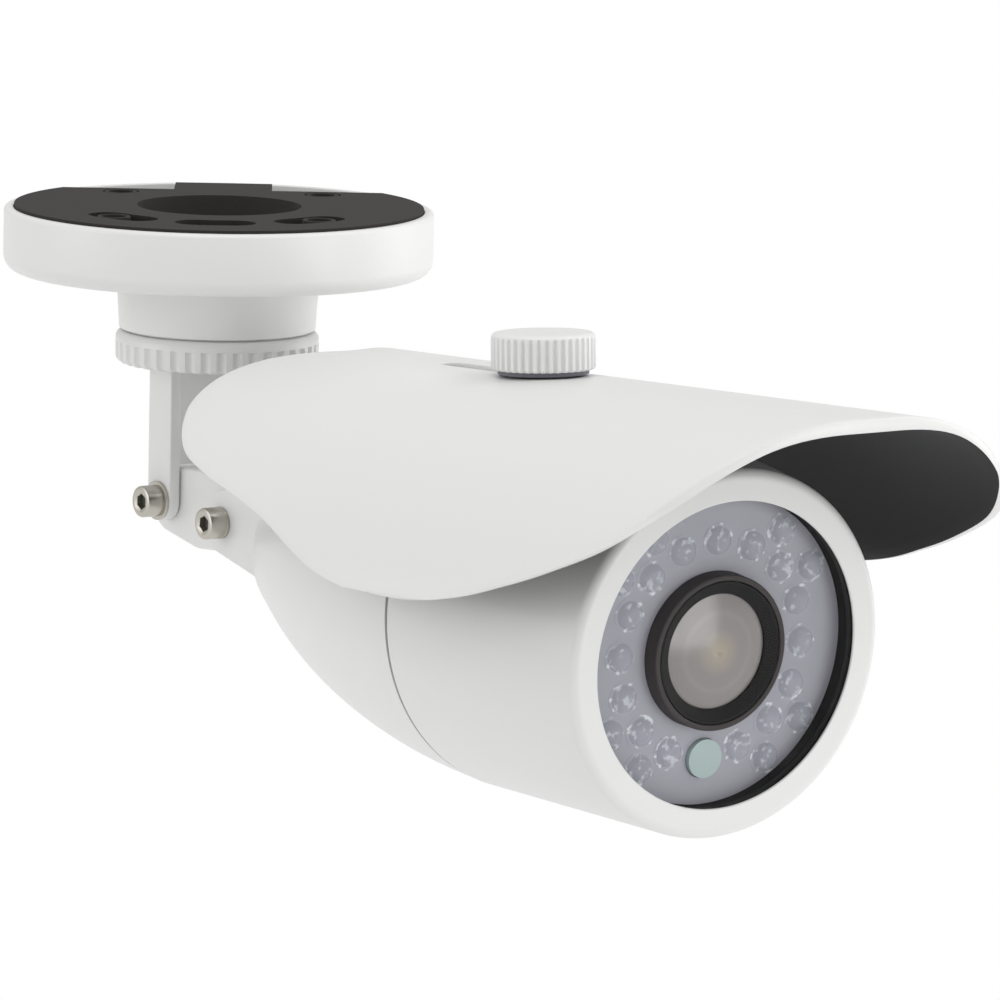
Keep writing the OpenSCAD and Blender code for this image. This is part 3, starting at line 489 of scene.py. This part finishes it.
def make_link():
    """A bellied casting with two pockets that open at the top, and a boss round each pivot."""
    reach = (HEAD_PIVOT.translation - STEM_PIVOT.translation) / MM
    middle, web, mouth, wall, boss_r, boss_half, above = reach.y * 0.45, 1.5, 3.5, 2.4, 4, 7.2, 12
    circles = ((0, 0, 5.8), (middle, -0.6, 6.9), (reach.y, reach.z, 5.6))
    casting = slab(band(circles), -LINK_HALF, LINK_HALF, STEM_PIVOT @ SIDE, 0.6)
    hollow = band([(y, z, r - wall) for y, z, r in circles])
    slot = [(middle - mouth, 0), (middle + mouth, 0), (middle + mouth, above), (middle - mouth, above)]
    pockets = [slab(shape, low + step, low + LINK_HALF - wall - web - step, STEM_PIVOT @ SIDE)
               for low in (-LINK_HALF + wall, web) for shape, step in ((hollow, 0), (slot, 0.05))]
    pivots = [STEM_PIVOT @ moved(0, y, z) @ turned("Y", 90) for y, z in ((0, 0), (reach.y, reach.z))]
    bosses = [lathe([(0, -boss_half, 0), (boss_r, -boss_half, 0), (boss_r, boss_half, 0), (0, boss_half, 0)],
                    pivot, 48) for pivot in pivots]
    link = joined(cut(casting, *pockets), *bosses)
    new_piece("link_casting", link, "link", WHITE, ["pivot_link"])


make_link()


# ---- Pivot screws ----
WASHER_T = 0.6


def hexagon(across):
    """Radius of a hexagon with that width across its flats."""
    return lambda angle: across / 2 / cos((angle % (pi / 3)) - pi / 6)


def socket_head(place, body, name, node):
    """A cap screw whose hexagon socket is painted dark for the shade inside it. Heights run inward from the
    head's face.
    """
    head_r, head_h, shank, reach = 2.75, 3.2, 1.5, 28.2
    socket, mouth_r, depth, painted_shade_r, painted_shade_start, painted_shade_end = hexagon(2.5), 1.75, 1.3, 1.5, 0.2, 2
    rings = [(shank, head_h + reach), (shank, head_h), (head_r, head_h), (head_r, 0.45),
             (head_r - 0.12, 0.15), (head_r - 0.45, 0), (mouth_r, 0.04), (socket, 0.25), (socket, depth),
             (0.3, depth + 0.1)]
    lead = moved(-FORK_HALF - WASHER_T - head_h, 0, 0) @ turned("Y", 90)
    screw = stacked(rings, 48, Matrix())
    # Painted shade: faces inside the socket take the dark colour of the shade in the recess.
    for face in screw.faces:
        middle = face.calc_center_median() / MM
        in_painted_shade = middle.xy.length < painted_shade_r and painted_shade_start < middle.z < painted_shade_end
        face.material_index = 1 if in_painted_shade else 0
    screw.transform(place @ lead)
    new_piece(name, screw, body, STEEL, [node], 30, [SOCKET_PAINTED_SHADE])


def washers(place, r, body, name, node):
    """A washer on the outside of each cheek."""
    hole, half = 1.58, WASHER_T / 2
    parts = [lathe([(hole, 0, 0.1), (hole, WASHER_T, 0.1), (r, WASHER_T, 0.15), (r, 0, 0.15)],
                   place @ moved(s * (FORK_HALF + half) - half, 0, 0) @ turned("Y", 90), 48) for s in (-1, 1)]
    new_piece(name, joined(*parts), body, STEEL, [node])


socket_head(STEM_PIVOT, "stem", "stem_pivot_screw", "stem_screw")
socket_head(HEAD_PIVOT, "head", "head_pivot_screw", "head_screw")
washers(STEM_PIVOT, 3.4, "stem", "stem_pivot_washers", "stem_washers")
washers(HEAD_PIVOT, 2.8, "head", "head_pivot_washers", "head_washers")

# ---- Rear housing ----
SEAM_R, SEAM_T, TAIL_T, SEAM_HALF = 34.3, 49.3, 121, 0.4
BELL_R, BELL_SLOPE, TAIL_SLOPE, TAIL_SINK = 166, radians(4), radians(26.4), 9
LEAN_FIT, SHELL, SHIELD_T = 0.2, 2.2, 1.6
LEAN = turned("X", -degrees(atan(TAIL_SINK / (TAIL_T - SEAM_T))))
DROOP = FACE @ moved(0, SEAM_T, -LEAN_FIT) @ LEAN @ moved(0, -SEAM_T, 0)


def bell_curve(angle, inset):
    """Radius and depth of the bell's long curve where its wall has that slope."""
    return (SEAM_R - LEAN_FIT - BELL_R * (cos(BELL_SLOPE) - cos(angle)) - inset * cos(angle),
            SEAM_T + (BELL_R - inset) * sin(angle) - BELL_R * sin(BELL_SLOPE))


def bell_profile(inset, tail_round):
    """The bell's wall, from a little in front of the seam to the middle of the tail."""
    first, steps = BELL_SLOPE - radians(2), 40
    points = [(*bell_curve(first + (TAIL_SLOPE - first) * i / steps, inset), 0) for i in range(steps + 1)]
    r, t, _ = points[-1]
    back = TAIL_T - inset
    return [*points, (r - (back - t) * tan(TAIL_SLOPE), back, tail_round), (0, back, 0)]


def make_housing():
    """The hollow bell, cut level at the seam, with its cable outlet, spigot, knob boss and ears."""
    seam = SEAM_T + SEAM_HALF
    outer, inner = bell_profile(0, 2), bell_profile(SHELL, 1)
    bell = lathe([*outer, *reversed(inner)], DROOP @ turned("X", -90), 192)
    front = FACE @ moved(0, seam, 0)
    bmesh.ops.bisect_plane(bell, geom=[*bell.verts, *bell.edges, *bell.faces], plane_co=front.translation,
                           plane_no=front.to_3x3() @ Vector((0, 1, 0)), clear_inner=True)
    bmesh.ops.bridge_loops(bell, edges=[edge for edge in bell.edges if edge.is_boundary])
    bmesh.ops.recalc_face_normals(bell, faces=bell.faces)
    outlet_r, outlet_half, outlet_slope = 4.6, 8, 22
    r, t = bell_curve(radians(outlet_slope), 0)
    outlet = lathe([(0, -outlet_half, 0), (outlet_r, -outlet_half, 0), (outlet_r, outlet_half, 0),
                    (0, outlet_half, 0)], DROOP @ moved(0, t, -r) @ turned("X", outlet_slope), 64)
    pivot_circle, root_circle = (0, 0, 5.5), (-14, 1.5, 9)
    ears = [slab(band([pivot_circle, root_circle]), low, low + CHEEK_T, HEAD_PIVOT @ SIDE, CHEEK_ROUND)
            for low in (-FORK_HALF, FORK_HALF - CHEEK_T)]
    thread_r, boss_r, boss_top = 2.08, 5.5, -SHIELD_T - 0.3
    boss_low = boss_top - 12
    boss = lathe([(thread_r, boss_low, 0), (boss_r, boss_low, 0), (boss_r, boss_top, 0.3),
                  (thread_r, boss_top, 0.2)], CROWN, 64)
    inner_r, outer_r, front_t, root_t = 30.2, 32, seam - 6, seam + 2
    spigot = lathe([(inner_r, front_t, 0.2), (outer_r, front_t, 0.3), (outer_r, root_t, 0),
                    (inner_r, root_t, 0)], BARREL)
    new_piece("housing_bell", joined(cut(bell, outlet), spigot, boss, *ears), "head", WHITE,
              ["rear_housing"])


make_housing()


# ---- Front barrel, bezel and window ----
WINDOW_R, GLASS_FRONT, GLASS_BACK, BOARD_T = 26, 0.4, 1.6, 10.5


def make_barrel():
    """Depths run back from the bezel's face."""
    nose_r, bezel_r, bezel_l, seat_r, seat_t, seam = 31.16, 29.5, 5, 27.6, 9.1, SEAM_T - SEAM_HALF
    shell = lathe([(bezel_r, 0, 0), (nose_r, 0, 1.75), (SEAM_R, seam, 0.3), (SEAM_R - SHELL, seam, 0),
                   (SEAM_R - SHELL, seam - 7, 0), (seat_r + 1.5, seat_t, 0), (seat_r, seat_t, 0),
                   (seat_r, bezel_l + 0.1, 0), (bezel_r, bezel_l + 0.1, 0)], BARREL, 192)
    new_piece("barrel_shell", shell, "head", WHITE, ["front_barrel"])
    glass_seat_r = WINDOW_R + 1.4
    ring = lathe([(WINDOW_R, 0, 0.3), (bezel_r, 0, 0), (bezel_r, bezel_l, 0), (glass_seat_r, bezel_l, 0),
                  (glass_seat_r, GLASS_FRONT, 0), (WINDOW_R, GLASS_FRONT, 0.1)], BARREL, 192)
    new_piece("bezel_ring", ring, "head", WHITE, ["front_bezel"])
    gasket_r, seam_end = SEAM_R - 0.7, seam + 2 * SEAM_HALF
    gasket = lathe([(SEAM_R - SHELL, seam, 0), (gasket_r, seam, 0), (gasket_r, seam_end, 0),
                    (SEAM_R - SHELL, seam_end, 0)], BARREL)
    new_piece("seam_ring", gasket, "head", RUBBER, ["seam_gasket"])


make_barrel()


def make_window():
    glass_r, sleeve_in, sleeve_r, sleeve_front = WINDOW_R + 1.3, 26.4, 27.1, GLASS_BACK + 1.1
    pane = lathe([(0, GLASS_FRONT, 0), (glass_r, GLASS_FRONT, 0.1), (glass_r, GLASS_BACK, 0.1),
                  (0, GLASS_BACK, 0)], BARREL)
    new_piece("window_pane", pane, "head", WINDOW_GLASS, ["front_glass"])
    sleeve = lathe([(sleeve_in, sleeve_front, 0.2), (sleeve_r, sleeve_front, 0.2), (sleeve_r, BOARD_T, 0),
                    (sleeve_in, BOARD_T, 0)], BARREL)
    new_piece("sleeve", sleeve, "head", SLEEVE, ["light_sleeve"])


make_window()


# ---- Emitters ----
def emitter_places():
    """(angle, distance from the lens) of a ring with the photocell at its foot, and four pairs outside it."""
    count, main_r, outer_r = 16, 18.4, 23.2
    main = [(180 + i * 360 / count, main_r) for i in range(1, count)]
    outer = [(45 + i * 90 + s * 180 / count, outer_r) for i in range(4) for s in (-1, 1)]
    return main + outer


def make_emitters():
    """Clear domes, and under each a shallow cup whose rim covers the edge of the plate's hole."""
    dome_r, dome_t = 2.45, 3.2
    cup_r, rim_r, cup_t, cup_end = 2.4, 3, 4.65, 5.6
    domes, cups = [], []
    for angle, radius in emitter_places():
        place = FACE @ turned("Y", angle) @ moved(0, 0, radius) @ turned("X", -90)
        domes.append(lathe([(0, dome_t, 0), (dome_r, dome_t, 1.6), (dome_r, BOARD_T, 0), (0, BOARD_T, 0)],
                           place, 24))
        cups.append(lathe([(0, 5.1, 0), (cup_r / 2, 5, 0), (cup_r, cup_t, 0), (rim_r, cup_t, 0),
                           (rim_r, cup_t + 0.07, 0), (cup_r, cup_end, 0), (0, cup_end, 0)], place, 20))
    new_piece("emitter_domes", joined(*domes), "head", EPOXY, ["ir_leds"])
    new_piece("emitter_cups", joined(*cups), "head", REFLECTOR_PAINTED_HIGHLIGHTS)


make_emitters()


def make_lens():
    """The rubber collar up to the glass, and a domed element behind the front lens."""
    seal_in, seal_r, seal_t = 12.2, 13.2, GLASS_BACK + 0.1
    seal = lathe([(seal_in, seal_t, 0.2), (seal_r, seal_t, 0.3), (seal_r, BOARD_T, 0), (seal_in, BOARD_T, 0)],
                 BARREL)
    new_piece("lens_collar", seal, "head", SEAL, ["lens_seal"])
    dome_r, centre_t = 9, 15.4
    turns = [radians(4.5 * k) for k in range(11)]
    dome = [(dome_r * sin(turn), centre_t - dome_r * cos(turn), 0) for turn in turns]
    inner = lathe([*dome, (0, dome[-1][1], 0)], BARREL, 64)
    new_piece("lens_inner_element", inner, "head", LENS_GLASS_PAINTED_REFLECTIONS)


make_lens()

# ---- Sunshield ----
# Each point of the flat blank's edge is (share of the half width, share of the reach).
CROWN_HALF, BEND_R, FLARE_R = 4, 43, 10
BEND, FLARE = radians(69.7), radians(24)
MID_R, MID_FLARE = BEND_R - SHIELD_T / 2, FLARE_R + SHIELD_T / 2
BEND_W = CROWN_HALF + MID_R * BEND
SHIELD_W = BEND_W + MID_FLARE * FLARE
FRONT_REACH, REAR_REACH, SCOOP = 91.97, 65, 8
FRONT_SHARE = [(0, 1), (0.2, 0.992), (0.37, 0.966), (0.51, 0.923), (0.638, 0.862), (0.76, 0.772),
               (0.855, 0.638), (0.919, 0.512), (0.967, 0.39), (0.997, 0.25), (0.985, 0.1)]
REAR_SHARE = [(0.949, -0.043), (0.904, -0.16), (0.817, -0.338), (0.75, -0.515), (0.7, -0.67),
              (0.657, -0.8), (0.61, -0.877), (0.548, -0.938), (0.47, -0.985), (0.36, -1)]
SCOOP_SHARE = [(0.24, 0.25), (0.12, 0.75), (0, 1)]
SLOT_R, SLOT_TRAVEL = 2.3, 26
LIP_T, LIP_START, LIP_RUN, LIP_HALF, LIP_FADE = 0.8, 79, 9, 22, 18


def half_edge(steps):
    """One half of the flat blank's edge, front to rear: (distance from the centre line, distance forward)."""
    marks = [(w * SHIELD_W, s * FRONT_REACH) for w, s in FRONT_SHARE]
    marks += [(w * SHIELD_W, s * REAR_REACH) for w, s in REAR_SHARE]
    marks += [(w * SHIELD_W, s * SCOOP - REAR_REACH) for w, s in SCOOP_SHARE]
    marks = [Vector(mark) for mark in marks]
    marks = [Vector((-marks[1].x, marks[1].y)), *marks, Vector((-marks[-2].x, marks[-2].y))]
    points = []
    for a, b, c, d in zip(marks, marks[1:], marks[2:], marks[3:]):
        for k in range(steps):
            t = k / steps
            points.append(0.5 * (2 * b + (c - a) * t + (2 * a - 5 * b + 4 * c - d) * t ** 2
                                 + (3 * b - a - 3 * c + d) * t ** 3))
    return [*points, marks[-2]]


def slopes(w):
    """How far the plate has bent, and flared back, at a distance w from the centre line."""
    return min(max((w - CROWN_HALF) / MID_R, 0), BEND), min(max((w - BEND_W) / MID_FLARE, 0), FLARE)


def bent(w, lift):
    """Place across and up of the plate at a distance w, lifted off its middle surface."""
    side, w = (1 if w >= 0 else -1), abs(w)
    bend, flare = slopes(w)
    slope = bend - flare
    x = min(w, CROWN_HALF) + MID_R * sin(bend) + MID_FLARE * (sin(BEND) - sin(BEND - flare))
    z = -SHIELD_T / 2 - MID_R * (1 - cos(bend)) - MID_FLARE * (cos(BEND - flare) - cos(BEND))
    return side * (x + lift * sin(slope)), z + lift * cos(slope)


def trimmed(w, layer):
    """The plate is cut straight down at its crown and level at its wings, so its two skins end apart."""
    bend, flare = slopes(w)
    slope, half = bend - flare, SHIELD_T / 2
    down = (2 * SHIELD_T * sin(bend) ** 2 - layer * half * sin(slope)) / cos(slope)
    level = (2 * SHIELD_T * cos(bend) ** 2 + layer * half * cos(slope)) / max(sin(slope), 1e-3)
    return min(w + min(down, level), SHIELD_W)


def eased(share):
    """A share between 0 and 1 that starts and ends gently."""
    share = min(max(share, 0), 1)
    return share * share * (3 - 2 * share)


def slot_half(count):
    """Points down one half of the knob's slot, evenly spaced."""
    arc = SLOT_R * pi / 2
    points = []
    for i in range(count):
        run = i / (count - 1) * (2 * arc + SLOT_TRAVEL)
        if run < arc:
            points.append((SLOT_R * sin(run / SLOT_R), SLOT_R * cos(run / SLOT_R)))
        elif run < arc + SLOT_TRAVEL:
            points.append((SLOT_R, arc - run))
        else:
            turn = (run - arc - SLOT_TRAVEL) / SLOT_R
            points.append((SLOT_R * cos(turn), -SLOT_TRAVEL - SLOT_R * sin(turn)))
    return points


def make_shield():
    """Bridges the blank's edge to its slot in two skins, bends both and joins them along their rims."""
    rows, rim_round, lining_share = 31, 0.3, 0.7
    mesh = bmesh.new()
    edge = half_edge(6)
    slot = slot_half(len(edge))
    skins = []
    for layer in (1, -1):
        outer = [(trimmed(w, layer), s) for w, s in edge[1:-1]]
        loops = []
        for (_, first), side, (_, last) in ((edge[0], outer, edge[-1]), (slot[0], slot[1:-1], slot[-1])):
            ring = [(0, first), *side, (0, last), *((-w, s) for w, s in reversed(side))]
            loops.append(loop(mesh, [(w, -s, layer) for w, s in ring]))
        rungs = bmesh.ops.bridge_loops(mesh, edges=loops[0] + loops[1])["edges"]
        bmesh.ops.subdivide_edges(mesh, edges=rungs, cuts=rows, use_grid_fill=True)
        skins.append(loops)
    for vert in mesh.verts:
        w, ahead = vert.co.x / MM, -vert.co.y / MM
        lip = LIP_T * eased((ahead - LIP_START) / LIP_RUN) * eased((LIP_HALF - abs(w)) / LIP_FADE)
        x, z = bent(w, SHIELD_T / 2 if vert.co.z > 0 else -SHIELD_T / 2 - lip)
        vert.co.x, vert.co.z = x * MM, z * MM
    rims = []
    for above, below in zip(*skins):
        rims += above + below
        bmesh.ops.bridge_loops(mesh, edges=above + below)
    bmesh.ops.recalc_face_normals(mesh, faces=mesh.faces)
    for face in mesh.faces:
        middle = face.calc_center_median()
        inward = Vector((-middle.x, 0, -BEND_R * MM - middle.z)).normalized()
        face.material_index = 1 if face.normal.dot(inward) > lining_share else 0
    bmesh.ops.bevel(mesh, geom=rims, offset=rim_round * MM, offset_type="OFFSET", segments=2, profile=0.5,
                    affect="EDGES", material=-1, clamp_overlap=True)
    mesh.transform(CROWN)
    new_piece("shield_plate", mesh, "shield", WHITE, ["sunshield"], 40, [CHARCOAL])


make_shield()


# ---- Knob ----
def make_knob():
    """The side is a list of (height, inset, share of the groove's depth). No two rings lie in one plane."""
    r, height, count, groove_depth, tip_r, disc_low, disc_high = 8.8, 6.2, 40, 0.5, 0.02, 0.3, 1.1
    side = [(0, 0.35, 1), (0.35, 0, 1), (4.9, 0, 1), (5.25, 0, 0.8), (5.5, 0.03, 0.3), (5.65, 0.08, 0),
            (5.9, 0.22, 0), (6.08, 0.45, 0), (6.17, 0.75, 0), (height, 1.1, 0)]
    rings = [(tip_r, 0.06), (8, 0.03)]
    rings += [(fluted(r - inset, groove_depth * share, count), z) for z, inset, share in side]
    rings += [(5, height), (tip_r, height - 0.02)]
    grip = stacked(rings, count * 10, CROWN @ moved(0, 0, disc_high))
    new_piece("shield_knob_grip", grip, "knob", WHITE, ["shield_knob"], 40)
    # The disc's dark colour is partly painted shade of the gap between the knob and the shield.
    hole, disc_r = 2.03, 7.7
    washer = lathe([(hole, disc_low, 0), (disc_r, disc_low, 0.15), (disc_r, disc_high, 0),
                    (hole, disc_high, 0)], CROWN, 96)
    new_piece("knob_friction_disc", washer, "knob", DARK_STEEL_PAINTED_GAP_SHADE, ["knob_washer"])


make_knob()

# ---- CAD solids that are shown as they are ----
CARRIED = {
    "base_pad": PAD, "friction_washer": NYLON, "stem_nut": STEEL, "head_nut": STEEL, "cable_grommet": RUBBER,
    "bezel_o_ring": RUBBER, "led_plate": PLATE, "led_board": BOARD, "photocell": GREEN_RESIN,
    "lens_barrel": SLEEVE, "lens_glass": LENS_GLASS_PAINTED_REFLECTIONS, "lens_lock_ring": SLEEVE, "lens_holder": SLEEVE,
    "image_sensor": CHIP, "sensor_board": BOARD, "main_board": BOARD, "cable_socket": NYLON,
    "board_spacers": BRASS, "board_screws": STEEL, "board_ribbon": RIBBON, "knob_stud": STEEL}
for node, material in CARRIED.items():
    mesh = frame["nodes"][node].data
    mesh.materials.clear()
    mesh.materials.append(material)
    mesh.shade_smooth()
    mesh.set_sharp_from_angle(angle=radians(25))


# ---- Studio ----
def shown_white(name, colour):
    """Plain white to the lens, glossy and clear rays, and a pale matt surface to everything else."""
    finish = Finish(name, colour, 0.9)
    camera, glossy, clear_ray = (finish.node("LightPath", {}, {}, "Is %s Ray" % kind)
                                 for kind in ("Camera", "Glossy", "Transmission"))
    share = (camera + glossy + clear_ray).math("MINIMUM", 1)
    glow = finish.node("Emission", {}, {"Color": (1, 1, 1, 1), "Strength": 1.0})
    mix = finish.node("MixShader", {}, {0: share, 1: Value(finish, finish.shader.outputs[0]), 2: glow})
    finish.feed(finish.nodes["Material Output"].inputs["Surface"], mix)
    return finish.material


# Name, place in metres, size in metres, power in watts
LAMPS = [("Right", (1.6, -0.5, 0.15), 1.0, 4.6), ("Low front", (0.5, -1.6, -0.2), 0.8, 6.6),
         ("Left", (-1.5, 0.6, 0.3), 1.0, 4.4), ("Top", (-0.4, -0.3, 1.5), 0.8, 5.0),
         ("Top right", (0.7, -0.7, 1.3), 0.8, 4.2)]


def make_studio():
    floor_half, floor_z, world_strength = 12, -0.45, 0.67
    mesh = bmesh.new()
    bmesh.ops.create_grid(mesh, x_segments=1, y_segments=1, size=floor_half)
    data = bpy.data.meshes.new("floor")
    mesh.to_mesh(data)
    mesh.free()
    data.materials.append(shown_white("Pale floor", (0.82, 0.82, 0.82)))
    floor = bpy.data.objects.new("floor", data)
    floor.location = (0, 0, floor_z)
    bpy.context.scene.collection.objects.link(floor)
    world = bpy.data.worlds.new("Studio")
    bpy.context.scene.world = world
    world.use_nodes = True
    background = world.node_tree.nodes["Background"]
    background.inputs["Color"].default_value = (1, 1, 1, 1)
    background.inputs["Strength"].default_value = world_strength
    for name, spot, size, power in LAMPS:
        light = bpy.data.lights.new(name, "AREA")
        light.size = size
        light.energy = power
        lamp = bpy.data.objects.new(name, light)
        lamp.location = Vector(spot)
        lamp.rotation_mode = "QUATERNION"
        lamp.rotation_quaternion = (WINDOW - Vector(spot)).to_track_quat("-Z", "Y")
        bpy.context.scene.collection.objects.link(lamp)


make_studio()
bpy.context.scene.view_settings.view_transform = "Standard"
